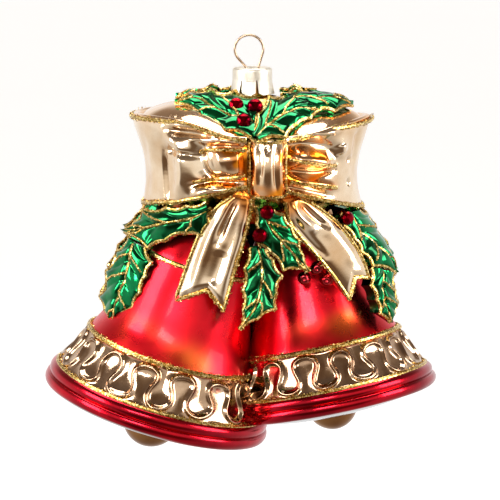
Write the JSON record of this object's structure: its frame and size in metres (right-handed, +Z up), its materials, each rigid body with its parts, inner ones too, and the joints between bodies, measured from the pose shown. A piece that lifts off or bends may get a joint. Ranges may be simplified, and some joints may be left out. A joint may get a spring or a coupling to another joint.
{
  "type": "christmas bell ornament",
  "caption": "Hanging glass ornament of twin bells under a gold bow and green holly, with a slit metal cap and a wire eye.",
  "frame": {"origin": "centre of the wire eye that the ornament hangs by", "axes": "+Z up, +X to the right seen from the front, -Y is the front, so +Y points to the back"},
  "size_m": [0.1073, 0.0649, 0.1134],
  "materials": {
    "red_lacquer": "satin transparent red lacquer over silvered glass",
    "band_gold": "gold lacquer over silvered glass, mirror bright",
    "bow_gold": "champagne gold lacquer over silvered glass, mirror bright",
    "knob_gold": "gold lacquer over silvered glass",
    "green_lacquer": "transparent green lacquer over silvered glass",
    "silvered_glass": "bare silvered glass",
    "clear_glass": "silvered glass with amber lacquer",
    "berries": "dark red lacquer over silvered glass",
    "stones": "faceted dark red glass",
    "glitter": "gold glitter flakes",
    "cap_metal": "stamped tinplate, pale gold",
    "wire": "copper-coloured spring wire"
  },
  "bodies": {
    "glass": {"bell_left_shell": "red_lacquer", "bell_left_band": "band_gold", "bell_left_rim": "red_lacquer", "bell_left_floor": "silvered_glass", "bell_left_clapper": "knob_gold", "bell_right_shell": "red_lacquer", "bell_right_band": "band_gold", "bell_right_rim": "red_lacquer", "bell_right_floor": "silvered_glass", "bell_right_clapper": "knob_gold", "neck": "clear_glass", "garland_core": "clear_glass", "bow_knot_front": "bow_gold", "bow_knot_back": "bow_gold", "bow_loop_left": "bow_gold", "bow_loop_right": "bow_gold", "bow_tail_left": "bow_gold", "bow_tail_right": "bow_gold", "bow_tail_back_left": "bow_gold", "bow_tail_back_right": "bow_gold", "berries_moulded": "berries", "leaf_top_left": "green_lacquer", "leaf_top_front": "green_lacquer", "leaf_top_right": "green_lacquer", "leaf_left_upper": "green_lacquer", "leaf_left_lower": "green_lacquer", "leaf_center_upper": "green_lacquer", "leaf_center_lower": "green_lacquer", "leaf_right_upper": "green_lacquer", "leaf_right_lower": "green_lacquer", "leaf_back_top_left": "green_lacquer", "leaf_back_top_right": "green_lacquer", "leaf_back_left_upper": "green_lacquer", "leaf_back_left_lower": "green_lacquer", "leaf_back_center": "green_lacquer", "leaf_back_right_upper": "green_lacquer", "leaf_back_right_lower": "green_lacquer", "rhinestones_top": "stones", "rhinestones_center": "stones", "rhinestone_right": "stones", "glitter_bands_left": "glitter", "glitter_bands_right": "glitter", "glitter_bow": "glitter", "glitter_tails": "glitter", "glitter_leaves_front": "glitter", "glitter_leaves_back": "glitter"},
    "cap": {"cap": "cap_metal"},
    "hanger": {"hanger_wire": "wire"}
  },
  "joints": [
    {"name": "cap_lift", "type": "slide", "parent": "glass", "child": "cap", "axis": [0, 0, 1], "range_m": [0, 0.02]},
    {"name": "hanger_turn", "type": "hinge", "parent": "cap", "child": "hanger", "pos_m": [0.0009, 0, -0.0049], "axis": [0, 0, 1], "continuous": true}
  ]
}
